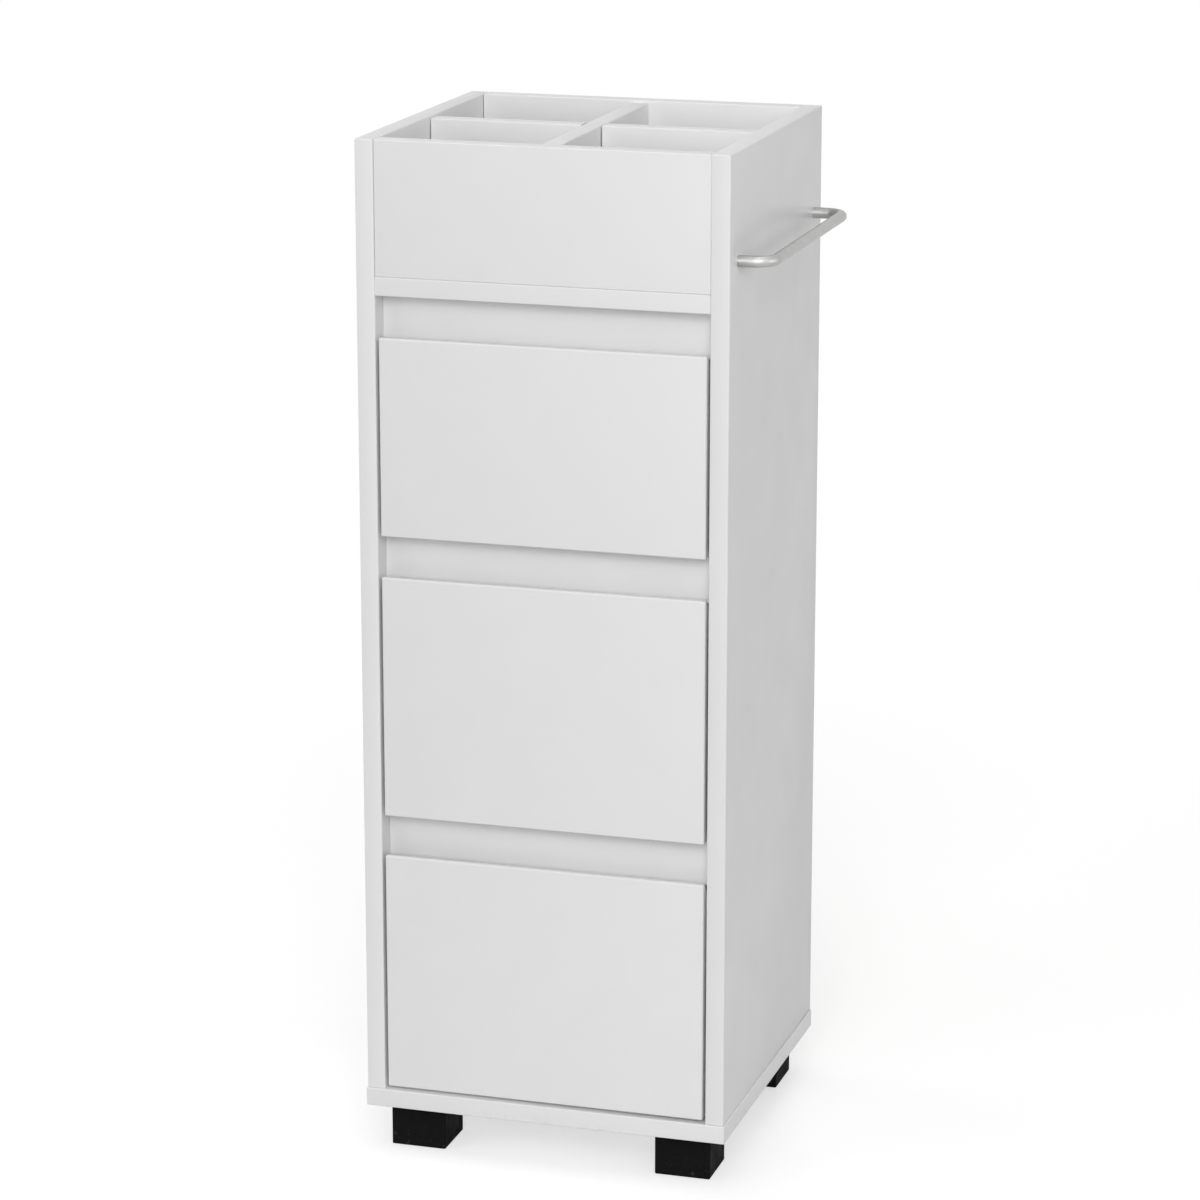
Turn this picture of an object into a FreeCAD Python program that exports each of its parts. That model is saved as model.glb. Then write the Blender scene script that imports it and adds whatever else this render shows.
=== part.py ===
import FreeCAD, Part
import math
import os

from FreeCAD import Vector

# Free-standing bathroom cabinet of white faced board: an open tray with four compartments on top,
# three drawers on roller runners below it, a bent rail on the right side and four block feet.
# Millimetres, +Z up, the front faces -Y, the floor is Z = 0.

os.makedirs("parts", exist_ok=True)

# Carcass boards
cabinet_width = 300.0
cabinet_depth = 284.0
board = 15.0
base_overhang = 1.0
edge_softening = 0.6
cut_overrun = 2.0

# Heights, from the floor up
foot_height = 38.0
base_gap = 3.0
lower_front_height = 197.0
middle_front_height = 197.0
upper_front_height = 159.0
recess_height = 33.0
tray_wall_height = 107.0

# Tray dividers
divider_drop = 2.0
divider_clearance = 0.3
lap_clearance = 0.2

# Boards behind the finger recesses
rail_gap = 3.5
rail_drop = 6.0
rail_rise = 10.0

# Thin boards and the grooves that hold them
thin_board = 3.0
back_inset = 10.0
back_groove_depth = 6.0
bottom_groove_depth = 5.0
groove_clearance = 0.15
groove_end_clearance = 0.5

# Block feet
foot_size = 46.0
foot_wall = 3.0
foot_top = 5.0
foot_softening = 1.2
foot_side_inset = 15.0
foot_front_inset = 15.0
foot_back_inset = 11.0
foot_screw_share = 0.22

# Side rail, a bent rod
side_rail_diameter = 9.0
side_rail_standoff = 26.0
side_rail_bend = 14.0
side_rail_inset = 24.5
side_rail_rise = 23.0

# Drawers
front_side_gap = 2.5
front_softening = 1.0
finger_bevel_width = 9.5
finger_bevel_height = 16.0
drawer_board = 12.0
box_headroom = 24.0
box_rear_gap = 16.0
bottom_lift = 8.0
drawer_back_setback = 10.0
dado_depth = 5.0

# Roller runners
runner_space = 12.5
runner_sheet = 1.2
runner_front_gap = 2.0
runner_rear_gap = 4.0
runner_rail_gap = 2.5
runner_web_gap = 1.0
roller_diameter = 17.0
roller_side_gap = 0.7
running_gap = 0.3
ledge_lip = 3.0
drawer_web_height = 14.0
drawer_leg = 10.0
flange_gap = 1.4
front_roller_inset = 11.0
rear_roller_inset = 11.0
axle_diameter = 4.0
axle_clearance = 0.05
axle_collar_diameter = 7.0

# Fasteners
fit_clearance = 0.1
cam_diameter = 15.0
cam_floor = 2.5
cam_setback = 24.0
cam_bolt_diameter = 6.0
cam_thread_diameter = 5.0
cam_thread_length = 10.0
cam_end_inset = 40.0
dowel_diameter = 8.0
dowel_length = 30.0
dowel_in_face = 10.0
dowel_end_clearance = 0.5
screw_diameter = 3.5
screw_head_diameter = 6.5
screw_head_height = 2.0
runner_screw_length = 10.0
foot_screw_length = 10.0
machine_screw_diameter = 4.0
machine_screw_reach = 10.0

# Small fasteners and their holes are bars with few flat sides
cam_sides = 12
fastener_sides = 6
axle_sides = 8

# Places of the fasteners along the pieces that carry them
base_dowel_share = 0.12
floor_dowel_share = 0.0
rail_dowel_shares = (0.28, 0.72)
tray_cam_share = 0.3
tray_dowel_share = 0.75
drawer_cam_share = 0.5
runner_screw_shares = (0.22, 0.78)

# Worked out from the sizes above
half_width = cabinet_width / 2
inner_half = half_width - board
front_y = -cabinet_depth / 2
back_y = cabinet_depth / 2
tray_front_y = front_y + board
tray_back_y = back_y - board
base_top = foot_height + board
lower_front_z = base_top + base_gap
middle_front_z = lower_front_z + lower_front_height + recess_height
upper_front_z = middle_front_z + middle_front_height + recess_height
tray_floor_z = upper_front_z + upper_front_height + recess_height
tray_floor_top = tray_floor_z + board
cabinet_top = tray_floor_top + tray_wall_height
back_panel_y = back_y - back_inset - thin_board
side_rail_z = tray_floor_top + side_rail_rise

X_AXIS = Vector(1, 0, 0)
Y_AXIS = Vector(0, 1, 0)
Z_AXIS = Vector(0, 0, 1)
SIDE_NAMES = {-1: "left", 1: "right"}


def block(low, high):
    """A plain box between two opposite corners."""
    size = high - low
    return Part.makeBox(size.x, size.y, size.z, low)


def box_between(one, other):
    """A plain box between any two opposite corners, in any order."""
    low = Vector(min(one.x, other.x), min(one.y, other.y), min(one.z, other.z))
    high = Vector(max(one.x, other.x), max(one.y, other.y), max(one.z, other.z))
    return block(low, high)


def panel(low, high, softening):
    """A board between two opposite corners with all its arrises broken."""
    box = block(low, high)
    return box.makeChamfer(softening, box.Edges)


def bar(start, direction, radius, length):
    """A round bar from a point along a unit direction."""
    return Part.makeCylinder(radius, length, start, direction)


def small_bar(start, direction, radius, length, sides=fastener_sides):
    """A small round bar along a row axis, drawn with few flat sides."""
    across = Vector(direction.y, direction.z, direction.x)
    upward = direction.cross(across)
    points = []
    for index in range(sides):
        turn = 2 * math.pi * index / sides
        points.append(start + (across * math.cos(turn) + upward * math.sin(turn)) * radius)
    return prism(points, direction * length)


def prism(points, along):
    """A closed outline of points, extruded along a vector."""
    outline = Part.makePolygon(points + points[:1])
    return Part.Face(outline).extrude(along)


def mirrored(shape):
    """The same piece on the other side of the cabinet's middle plane."""
    return shape.mirror(Vector(0, 0, 0), X_AXIS)


def cam_joint(face_point, into_board, to_cam_face, thickness):
    """A cam, its bolt, and the cutters for both boards that they join.

    The bolt is screwed into the far panel and runs from the joint's face into the board's edge.
    The cam sits in a blind bore that opens on one face of that board, slotted to take the bolt.
    """
    thread_start = face_point - into_board * cam_thread_length
    thread = small_bar(thread_start, into_board, cam_thread_diameter / 2, cam_thread_length)
    shank = small_bar(face_point, into_board, cam_bolt_diameter / 2, cam_setback)
    bolt = thread.fuse(shank)

    cam_centre = face_point + into_board * cam_setback
    mouth = cam_centre + to_cam_face * (thickness / 2)
    cam_depth = thickness - cam_floor
    slot_half = cam_bolt_diameter / 2 + fit_clearance
    sideways = into_board.cross(to_cam_face)
    corner = (sideways + to_cam_face) * slot_half
    slot_mouth = cam_centre - into_board * cam_diameter - corner
    slot = box_between(slot_mouth, cam_centre + into_board * slot_half + corner)
    housing = small_bar(mouth, -to_cam_face, cam_diameter / 2, cam_depth, cam_sides).cut(slot)

    pilot = small_bar(thread_start, into_board, cam_thread_diameter / 2 + fit_clearance, cam_thread_length)
    bolt_hole = small_bar(face_point, into_board, slot_half, cam_setback)
    bore_start = mouth + to_cam_face * cut_overrun
    bore_radius = cam_diameter / 2 + fit_clearance
    cam_bore = small_bar(bore_start, -to_cam_face, bore_radius, cam_depth + cut_overrun, cam_sides)
    return housing, bolt, [pilot, bolt_hole, cam_bore]


def dowel_joint(face_point, into_board):
    """A wooden dowel across a joint's face, and the cutter for both boards."""
    start = face_point - into_board * dowel_in_face
    dowel = small_bar(start, into_board, dowel_diameter / 2, dowel_length)
    hole_start = start - into_board * dowel_end_clearance
    hole_length = dowel_length + dowel_end_clearance + dowel_end_clearance
    return dowel, [small_bar(hole_start, into_board, dowel_diameter / 2 + fit_clearance, hole_length)]


def screw(head_top, inward, head_height, diameter, length):
    """A round-headed screw, the cutter for its head and the cutter for its shank."""
    under_head = head_top + inward * head_height
    head = small_bar(head_top, inward, screw_head_diameter / 2, head_height)
    shank = small_bar(under_head, inward, diameter / 2, length)
    head_cut = small_bar(head_top, inward, screw_head_diameter / 2 + fit_clearance, head_height)
    shank_cut = small_bar(under_head, inward, diameter / 2 + fit_clearance, length)
    return head.fuse(shank), head_cut, shank_cut


nodes = {}
cutters = {}
groups = {}


def add_cuts(names, shapes):
    """Note cutters for the named boards; they are cut once, at the end."""
    for name in names:
        cutters.setdefault(name, []).extend(shapes)


def add_to_group(name, solid):
    """Put one more fastener into a group node."""
    groups.setdefault(name, []).append(solid)


def add_cam(board_names, group_names, face_point, into_board, to_cam_face, thickness):
    """Set a cam and its bolt, and drill both boards for them."""
    housing, bolt, cuts = cam_joint(face_point, into_board, to_cam_face, thickness)
    add_to_group(group_names[0], housing)
    add_to_group(group_names[1], bolt)
    add_cuts(board_names, cuts)


def add_dowel(board_names, face_point, into_board):
    """Set a dowel and drill both boards for it."""
    dowel, cuts = dowel_joint(face_point, into_board)
    add_to_group("wood_dowels", dowel)
    add_cuts(board_names, cuts)


def make_carcass():
    """Base, two sides on top of it, and the thin back that slides into grooves."""
    nodes["base_panel"] = panel(
        Vector(-half_width - base_overhang, front_y - base_overhang, foot_height),
        Vector(half_width + base_overhang, back_y, base_top), edge_softening)
    right = panel(
        Vector(inner_half, front_y, base_top), Vector(half_width, back_y, cabinet_top), edge_softening)
    nodes["right_side_panel"] = right
    nodes["left_side_panel"] = mirrored(right)

    tongue = back_groove_depth - groove_end_clearance
    low = Vector(-inner_half - tongue, back_panel_y, base_top - tongue)
    high = Vector(inner_half + tongue, back_panel_y + thin_board, tray_floor_z + tongue)
    nodes["back_panel"] = block(low, high)
    ends = Vector(groove_end_clearance, groove_clearance, groove_end_clearance)
    groove = block(low - ends, high + ends)
    add_cuts(("base_panel", "right_side_panel", "left_side_panel", "tray_floor"), [groove])

    cams = ("cam_housings", "cam_bolts")
    for side, side_name in SIDE_NAMES.items():
        names = ("base_panel", side_name + "_side_panel")
        joint_x = side * (half_width - board / 2)
        for joint_y in (front_y + cam_end_inset, back_y - cam_end_inset):
            add_cam(names, cams, Vector(joint_x, joint_y, base_top), Z_AXIS, X_AXIS * -side, board)
        add_dowel(names, Vector(joint_x, cabinet_depth * base_dowel_share, base_top), Z_AXIS)


def make_tray():
    """Tray floor between the sides, the walls that stand on it and the lapped dividers."""
    tray_boards = {
        "tray_floor": (front_y, back_y, tray_floor_z, tray_floor_top),
        "tray_front": (front_y, tray_front_y, tray_floor_top, cabinet_top),
        "tray_back": (tray_back_y, back_y, tray_floor_top, cabinet_top)}
    for name, (near_y, far_y, low_z, high_z) in tray_boards.items():
        nodes[name] = panel(
            Vector(-inner_half, near_y, low_z), Vector(inner_half, far_y, high_z), edge_softening)

    cams = ("cam_housings", "cam_bolts")
    floor_mid = tray_floor_z + board / 2
    wall_mids = {"tray_front": front_y + board / 2, "tray_back": back_y - board / 2}
    for side, side_name in SIDE_NAMES.items():
        side_panel = side_name + "_side_panel"
        joint_x = side * inner_half
        inward = X_AXIS * -side
        names = (side_panel, "tray_floor")
        for joint_y in (front_y + cam_end_inset, back_y - cam_end_inset):
            add_cam(names, cams, Vector(joint_x, joint_y, floor_mid), inward, -Z_AXIS, board)
        add_dowel(names, Vector(joint_x, cabinet_depth * floor_dowel_share, floor_mid), inward)
        for wall, joint_y in wall_mids.items():
            cam_z = tray_floor_top + tray_wall_height * tray_cam_share
            dowel_z = tray_floor_top + tray_wall_height * tray_dowel_share
            add_cam((side_panel, wall), cams, Vector(joint_x, joint_y, cam_z), inward, Y_AXIS, board)
            add_dowel((side_panel, wall), Vector(joint_x, joint_y, dowel_z), inward)

    top = cabinet_top - divider_drop
    lap_z = (tray_floor_top + top) / 2
    half_board = board / 2
    half_slot = half_board + lap_clearance
    middle_y = (tray_front_y + tray_back_y) / 2
    long_half = inner_half - divider_clearance
    long_divider = panel(
        Vector(-long_half, middle_y - half_board, tray_floor_top),
        Vector(long_half, middle_y + half_board, top), edge_softening)
    upper_slot = block(
        Vector(-half_slot, middle_y - board, lap_z), Vector(half_slot, middle_y + board, top + cut_overrun))
    nodes["long_divider"] = long_divider.cut(upper_slot)
    cross_divider = panel(
        Vector(-half_board, tray_front_y + divider_clearance, tray_floor_top),
        Vector(half_board, tray_back_y - divider_clearance, top), edge_softening)
    lower_slot = block(
        Vector(-board, middle_y - half_slot, tray_floor_top - cut_overrun),
        Vector(board, middle_y + half_slot, lap_z))
    nodes["cross_divider"] = cross_divider.cut(lower_slot)


def make_recess_rail(name, low_z, high_z):
    """A board across the cabinet, set back behind the gap above a drawer front."""
    near_y = tray_front_y + rail_gap
    nodes[name] = panel(
        Vector(-inner_half, near_y, low_z), Vector(inner_half, near_y + board, high_z), edge_softening)
    height = high_z - low_z
    for side, side_name in SIDE_NAMES.items():
        names = (side_name + "_side_panel", name)
        for share in rail_dowel_shares:
            joint = Vector(side * inner_half, near_y + board / 2, low_z + height * share)
            add_dowel(names, joint, X_AXIS * -side)


def make_foot(name, low_x, low_y):
    """A moulded block foot, hollow from below, held by two screws through its top plate."""
    low = Vector(low_x, low_y, 0)
    high = low + Vector(foot_size, foot_size, foot_height)
    wall = Vector(foot_wall, foot_wall, 0)
    cavity = block(low + wall - Z_AXIS * cut_overrun, high - wall - Z_AXIS * foot_top)
    foot = panel(low, high, foot_softening).cut(cavity)
    for share in (foot_screw_share, -foot_screw_share):
        offset = foot_size * share
        middle = (low + high) / 2
        head_top = Vector(middle.x + offset, middle.y + offset, foot_height - foot_top - screw_head_height)
        fastener, _, shank_cut = screw(
            head_top, Z_AXIS, screw_head_height, screw_diameter, foot_top + foot_screw_length)
        add_to_group("foot_screws", fastener)
        foot = foot.cut(shank_cut)
        add_cuts(("base_panel",), [shank_cut])
    nodes[name] = foot


def make_feet():
    """Four feet, set in from the edges of the base."""
    low_xs = {"left": -half_width + foot_side_inset, "right": half_width - foot_side_inset - foot_size}
    low_ys = {"front": front_y + foot_front_inset, "rear": back_y - foot_back_inset - foot_size}
    for depth_name, low_y in low_ys.items():
        for side_name, low_x in low_xs.items():
            make_foot(depth_name + "_" + side_name + "_foot", low_x, low_y)


def make_side_rail():
    """A rod bent twice into a bow, screwed on from inside the tray through the right side panel."""
    radius = side_rail_diameter / 2
    leg_length = side_rail_standoff - side_rail_bend
    near_y = front_y + side_rail_inset
    far_y = back_y - side_rail_inset
    bend_x = half_width + leg_length
    run_start = Vector(half_width + side_rail_standoff, near_y + side_rail_bend, side_rail_z)
    rod = bar(run_start, Y_AXIS, radius, far_y - near_y - side_rail_bend - side_rail_bend)
    for leg_y, inward in ((near_y, Y_AXIS), (far_y, -Y_AXIS)):
        leg_foot = Vector(half_width, leg_y, side_rail_z)
        bend_start = Vector(bend_x, leg_y, side_rail_z)
        section = Part.Face(Part.Wire(Part.Circle(bend_start, X_AXIS, radius).toShape()))
        bend = section.revolve(bend_start + inward * side_rail_bend, X_AXIS.cross(inward), 90)
        rod = rod.fuse([bar(leg_foot, X_AXIS, radius, leg_length), bend])
        head_top = leg_foot - X_AXIS * (board + screw_head_height)
        fastener, _, shank_cut = screw(
            head_top, X_AXIS, screw_head_height, machine_screw_diameter, board + machine_screw_reach)
        add_to_group("side_rail_screws", fastener)
        rod = rod.cut(shank_cut)
        add_cuts(("right_side_panel",), [shank_cut])
    nodes["side_rail"] = rod


# Runner section, measured from the side panel's inner face and from the runner's underside
roller_radius = roller_diameter / 2
roller_width = runner_space - 3 * runner_sheet - 2 * roller_side_gap - runner_web_gap
ledge_width = 2 * runner_sheet + 2 * roller_side_gap + roller_width
runner_height = 2 * runner_sheet + roller_diameter + 2 * running_gap
flange_top = runner_height - runner_sheet - running_gap
flange_under = flange_top - runner_sheet
front_roller_radius = (flange_under - runner_sheet - 2 * running_gap) / 2
box_rise = flange_top - drawer_web_height
roller_near = runner_sheet + roller_side_gap
roller_far = roller_near + roller_width
drawer_web = runner_space - runner_sheet
runner_y = tray_front_y + runner_front_gap
runner_length = back_panel_y - runner_rear_gap - runner_y
box_length = back_panel_y - box_rear_gap - tray_front_y
box_lift = rail_rise + runner_rail_gap + box_rise
box_half = inner_half - runner_space
front_roller_y = runner_y + front_roller_inset
rear_roller_y = tray_front_y + box_length - rear_roller_inset
front_roller_rise = runner_sheet + running_gap + front_roller_radius
rear_roller_rise = runner_sheet + running_gap + roller_radius


def runner_point(across, y, z):
    """A point given by its distance in from the right side panel's inner face."""
    return Vector(inner_half - across, y, z)


def axle(web_across, collar_across, tip_across, y, z):
    """A stub axle riveted to a runner's web, with a collar that spaces the roller off it."""
    web = runner_point(web_across, y, z)
    outward = runner_point(tip_across, y, z) - web
    direction = Vector(outward).normalize()
    collar_length = abs(collar_across - web_across)
    collar = small_bar(web, direction, axle_collar_diameter / 2, collar_length, axle_sides)
    stub = small_bar(web, direction, axle_diameter / 2, outward.Length, axle_sides)
    return collar.fuse(stub)


def roller(radius, y, z):
    """A nylon wheel with a bore for its axle, whose flats clear the axle's corners as it turns."""
    start = runner_point(roller_far, y, z)
    wheel = bar(start, X_AXIS, radius, roller_width)
    bore_radius = (axle_diameter / 2 + axle_clearance) / math.cos(math.pi / axle_sides)
    return wheel.cut(small_bar(start, X_AXIS, bore_radius, roller_width, axle_sides))


def cabinet_runner(runner_z):
    """The right-hand cabinet member: a C of sheet with a lipped ledge and the front roller's axle."""
    lip_top = runner_sheet + ledge_lip
    lip_inside = ledge_width - runner_sheet
    top_under = runner_height - runner_sheet
    outline = [
        (0, 0), (ledge_width, 0), (ledge_width, lip_top), (lip_inside, lip_top), (lip_inside, runner_sheet),
        (runner_sheet, runner_sheet), (runner_sheet, top_under), (ledge_width, top_under),
        (ledge_width, runner_height), (0, runner_height)]
    points = [runner_point(across, runner_y, runner_z + rise) for across, rise in outline]
    member = prism(points, Y_AXIS * runner_length)
    screws = []
    pilots = []
    for share in runner_screw_shares:
        head_top = runner_point(runner_sheet, runner_y + runner_length * share, runner_z + runner_height / 2)
        fastener, head_cut, shank_cut = screw(
            head_top, X_AXIS, runner_sheet, screw_diameter, runner_screw_length)
        member = member.cut(head_cut)
        screws.append(fastener)
        pilots.append(shank_cut)
    axle_z = runner_z + front_roller_rise
    stub = axle(runner_sheet, roller_near - running_gap, roller_far, front_roller_y, axle_z)
    return member.fuse(stub), screws, pilots


def drawer_runner(runner_z):
    """The right-hand drawer member: a Z of sheet under the drawer side, with the rear roller's axle."""
    leg_end = runner_space + drawer_leg
    leg_under = box_rise - runner_sheet
    flange_edge = runner_sheet + flange_gap
    outline = [
        (flange_edge, flange_under), (drawer_web, flange_under), (drawer_web, leg_under),
        (leg_end, leg_under), (leg_end, box_rise), (runner_space, box_rise),
        (runner_space, flange_top), (flange_edge, flange_top)]
    points = [runner_point(across, tray_front_y, runner_z + rise) for across, rise in outline]
    member = prism(points, Y_AXIS * box_length)
    # The running flange stops short of the rear roller, which is taller than the flange.
    room_near_y = rear_roller_y - roller_radius - roller_side_gap
    room_far_y = tray_front_y + box_length + cut_overrun
    roller_room = box_between(
        runner_point(drawer_web, room_near_y, runner_z + flange_under - cut_overrun),
        runner_point(0, room_far_y, runner_z + flange_top + cut_overrun))
    axle_z = runner_z + rear_roller_rise
    stub = axle(drawer_web, roller_far + running_gap, roller_near, rear_roller_y, axle_z)
    return member.cut(roller_room).fuse(stub)


def make_runners(drawer, front_z):
    """Both runners of one drawer, with their rollers and screws."""
    runner_z = front_z + rail_rise + runner_rail_gap
    cabinet_member, cabinet_screws, cabinet_pilots = cabinet_runner(runner_z)
    drawer_member = drawer_runner(runner_z)
    front_roller = roller(front_roller_radius, front_roller_y, runner_z + front_roller_rise)
    rear_roller = roller(roller_radius, rear_roller_y, runner_z + rear_roller_rise)
    for side_name, placed in (("right", lambda shape: shape), ("left", mirrored)):
        nodes[drawer + "_" + side_name + "_cabinet_runner"] = placed(cabinet_member)
        nodes[drawer + "_" + side_name + "_drawer_runner"] = placed(drawer_member)
        add_to_group(drawer + "_front_rollers", placed(front_roller))
        add_to_group(drawer + "_rear_rollers", placed(rear_roller))
        for fastener in cabinet_screws:
            add_to_group("runner_screws", placed(fastener))
        add_cuts((side_name + "_side_panel",), [placed(pilot) for pilot in cabinet_pilots])


def drawer_front_board(front_z, front_height):
    """A drawer front whose upper rear edge is bevelled as a finger pull."""
    half = inner_half - front_side_gap
    top = front_z + front_height
    outline = [
        (front_y, front_z), (tray_front_y, front_z), (tray_front_y, top - finger_bevel_height),
        (tray_front_y - finger_bevel_width, top), (front_y, top)]
    points = [Vector(-half, y, z) for y, z in outline]
    front = prism(points, X_AXIS * (half + half))
    return front.makeChamfer(front_softening, front.Edges)


def make_drawer(drawer, front_z, front_height):
    """One drawer: front, two sides, a back let into the sides and a thin bottom in grooves."""
    box_z = front_z + box_lift
    box_height = front_height - rail_drop - box_lift - box_headroom
    box_top = box_z + box_height
    box_rear_y = tray_front_y + box_length
    inner_box_half = box_half - drawer_board
    name = drawer + "_drawer_"

    nodes[name + "front"] = drawer_front_board(front_z, front_height)
    right = panel(
        Vector(inner_box_half, tray_front_y, box_z), Vector(box_half, box_rear_y, box_top), edge_softening)
    nodes[name + "right_side"] = right
    nodes[name + "left_side"] = mirrored(right)

    back_half = inner_box_half + dado_depth - groove_end_clearance
    back_far_y = box_rear_y - drawer_back_setback
    back_near_y = back_far_y - drawer_board
    nodes[name + "back"] = block(
        Vector(-back_half, back_near_y, box_z), Vector(back_half, back_far_y, box_top))
    dado_half = inner_box_half + dado_depth
    dado = block(
        Vector(-dado_half, back_near_y - groove_clearance, box_z - cut_overrun),
        Vector(dado_half, back_far_y + groove_clearance, box_top + cut_overrun))
    add_cuts((name + "right_side", name + "left_side"), [dado])

    tongue = bottom_groove_depth - groove_end_clearance
    bottom_z = box_z + bottom_lift
    low = Vector(-inner_box_half - tongue, tray_front_y - tongue, bottom_z)
    high = Vector(inner_box_half + tongue, back_near_y + tongue, bottom_z + thin_board)
    nodes[name + "bottom"] = block(low, high)
    ends = Vector(groove_end_clearance, groove_end_clearance, groove_clearance)
    groove = block(low - ends, high + ends)
    add_cuts([name + piece for piece in ("front", "right_side", "left_side", "back")], [groove])

    cams = (name + "cams", name + "cams")
    for side, side_name in SIDE_NAMES.items():
        joint_x = side * (box_half - drawer_board / 2)
        joint = Vector(joint_x, tray_front_y, box_z + box_height * drawer_cam_share)
        joined = (name + "front", name + side_name + "_side")
        add_cam(joined, cams, joint, Y_AXIS, X_AXIS * -side, drawer_board)
    make_runners(drawer, front_z)


make_carcass()
make_tray()
make_recess_rail("upper_recess_rail", upper_front_z + upper_front_height - rail_drop, tray_floor_z)
make_recess_rail(
    "middle_recess_rail", middle_front_z + middle_front_height - rail_drop, upper_front_z + rail_rise)
make_recess_rail(
    "lower_recess_rail", lower_front_z + lower_front_height - rail_drop, middle_front_z + rail_rise)
make_feet()
make_side_rail()
make_drawer("upper", upper_front_z, upper_front_height)
make_drawer("middle", middle_front_z, middle_front_height)
make_drawer("lower", lower_front_z, lower_front_height)

for name, shapes in cutters.items():
    nodes[name] = nodes[name].cut(shapes)
for name, solids in groups.items():
    nodes[name] = Part.makeCompound(solids)

# The origin is on the floor, in the middle of the whole part, side rail included.
left_end = -half_width - base_overhang
right_end = half_width + side_rail_standoff + side_rail_diameter / 2
to_origin = Vector(-(left_end + right_end) / 2, base_overhang / 2, 0)
for name, shape in nodes.items():
    shape.translate(to_origin)
    shape.exportStep("parts/" + name + ".step")
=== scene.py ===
import math

import bmesh
import bpy
import numpy as np
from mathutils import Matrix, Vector


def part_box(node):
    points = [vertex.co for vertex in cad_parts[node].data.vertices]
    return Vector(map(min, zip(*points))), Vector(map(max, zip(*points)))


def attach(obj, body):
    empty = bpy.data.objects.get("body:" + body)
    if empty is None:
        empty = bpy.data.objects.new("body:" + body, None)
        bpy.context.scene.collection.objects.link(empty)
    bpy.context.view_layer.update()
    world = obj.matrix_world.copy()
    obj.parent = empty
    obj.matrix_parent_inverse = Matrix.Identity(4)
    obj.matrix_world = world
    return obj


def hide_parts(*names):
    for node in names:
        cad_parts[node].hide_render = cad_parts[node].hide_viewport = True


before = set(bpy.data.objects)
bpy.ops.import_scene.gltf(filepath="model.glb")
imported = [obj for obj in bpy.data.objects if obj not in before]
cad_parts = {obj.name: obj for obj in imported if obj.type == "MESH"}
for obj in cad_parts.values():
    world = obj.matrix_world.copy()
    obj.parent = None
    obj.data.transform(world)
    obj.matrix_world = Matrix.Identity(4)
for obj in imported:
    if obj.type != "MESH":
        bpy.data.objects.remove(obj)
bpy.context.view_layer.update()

# Carcass boards: the base, two sides and the rails behind the finger recesses, chipboard faced and
# edged with white melamine. The frame holds them sawn, bored and grooved, with chamfered arrises;
# here those chamfers are sanded round.
CARCASS_BOARDS = ("base_panel", "left_side_panel", "right_side_panel",
                  "upper_recess_rail", "middle_recess_rail", "lower_recess_rail")
BOARD_EASING = 0.0004
EASING_STEPS = 2
CHAMFER_DEGREES = (35, 55)
CREASE_DEGREES = 25
FLAT_DEGREES = 1
MERGE_REACH = 1e-6
WELD_REACH = 2e-6
NOISE_SPAN = (0.3, 0.7)
CLEAN_AND_SOILED_WHITE = ((0.80, 0.80, 0.80), (0.68, 0.68, 0.675))
MOTTLE_SHARES = (0, 0.12)
SATIN_ROUGHNESS = (0.30, 0.38)
SMUDGE_SPAN = (0.52, 0.75)
SMUDGE_SHARES = (0, 0.55)
SMUDGE_HEIGHTS = (0.04, 0.075)


def add_node(tree, kind, settings=None, **inputs):
    """Add a shader node. An input given as a socket is linked; any other value is set on the socket."""
    node = tree.nodes.new("ShaderNode" + kind)
    for key, value in (settings or {}).items():
        setattr(node, key, value)
    for key, value in inputs.items():
        socket = node.inputs[key.replace("_", " ")]
        if isinstance(value, bpy.types.NodeSocket):
            tree.links.new(value, socket)
        else:
            socket.default_value = value
    return node


def new_finish(name):
    """A material with an empty surface shader, and the sockets that give a point's place and facing."""
    finish = bpy.data.materials.new(name)
    finish.use_nodes = True
    tree = finish.node_tree
    tree.nodes.clear()
    surface = add_node(tree, "BsdfPrincipled")
    add_node(tree, "OutputMaterial", Surface=surface.outputs["BSDF"])
    return finish, tree, surface.inputs, add_node(tree, "TexCoord").outputs


def grain(tree, place, scale, detail=2.0, roughness=0.5):
    """Cloudy noise between 0 and 1, with scale features to a metre."""
    noise = add_node(tree, "TexNoise", Vector=place, Scale=scale, Detail=detail, Roughness=roughness)
    return noise.outputs["Fac"]


def between(tree, value, span, result):
    """Carry a value from one span to another, held at the ends."""
    carried = add_node(tree, "MapRange", Value=value, From_Min=span[0], From_Max=span[1],
                       To_Min=result[0], To_Max=result[1])
    return carried.outputs["Result"]


def tint(tree, value, span, colours):
    """A colour that runs from the first to the second as the value crosses the span."""
    ramp = add_node(tree, "ValToRGB", Fac=value)
    for element, place, colour in zip(ramp.color_ramp.elements, span, colours):
        element.position = place
        element.color = (*colour, 1)
    return ramp.outputs["Color"]


def joined(tree, one, other, how):
    """Two sockets through one Math node."""
    node = add_node(tree, "Math", {"operation": how})
    tree.links.new(one, node.inputs[0])
    tree.links.new(other, node.inputs[1])
    return node.outputs[0]


def pitted(tree, surface, place, scale, strength, depth):
    """Fine bumps of a finish, with scale of them to a metre."""
    bump = add_node(tree, "Bump", Height=grain(tree, place, scale), Strength=strength, Distance=depth)
    tree.links.new(bump.outputs["Normal"], surface["Normal"])


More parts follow.
